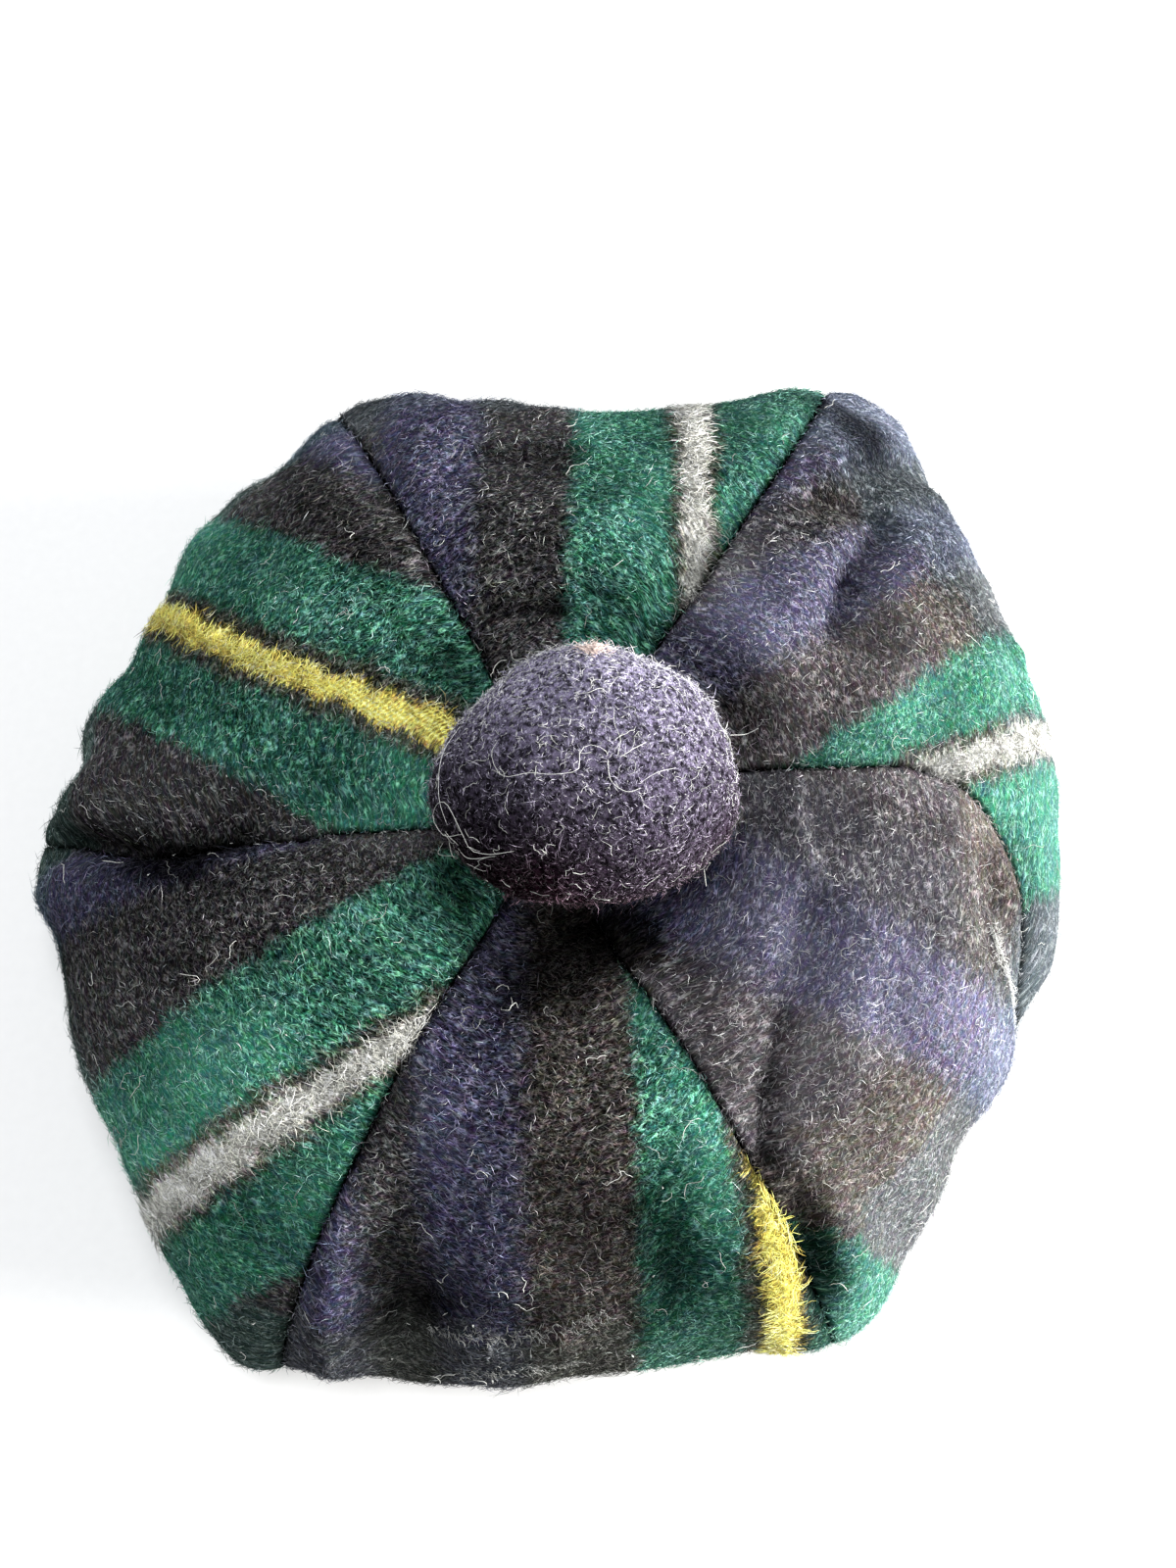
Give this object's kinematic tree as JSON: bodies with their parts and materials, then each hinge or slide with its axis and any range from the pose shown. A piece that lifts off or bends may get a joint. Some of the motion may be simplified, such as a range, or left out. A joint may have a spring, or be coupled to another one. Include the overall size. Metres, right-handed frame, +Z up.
{
  "type": "tam o shanter",
  "caption": "Soft round wool cap of six wedge-shaped gores gathered to a plain head band, with a felted pompom tied at the crown.",
  "frame": {"origin": "on the surface it lies on, under the middle of its outline", "axes": "+Z up out of the crown; +X to the picture's right and +Y to its top, the far side of the hat as it lies"},
  "size_m": [0.2634, 0.2674, 0.1085],
  "materials": {
    "tartan_wool": "brushed wool twill, checked in navy, black and green with white and yellow lines",
    "pompom_felt": "felted navy wool with pale stray fibres",
    "band_wool": "plain dark wool"
  },
  "bodies": {
    "root": {"gore_far_right": "tartan_wool", "gore_far": "tartan_wool", "gore_far_left": "tartan_wool", "gore_near_left": "tartan_wool", "gore_near": "tartan_wool", "gore_near_right": "tartan_wool", "head_band": "band_wool", "pompom": "pompom_felt"}
  },
  "joints": []
}
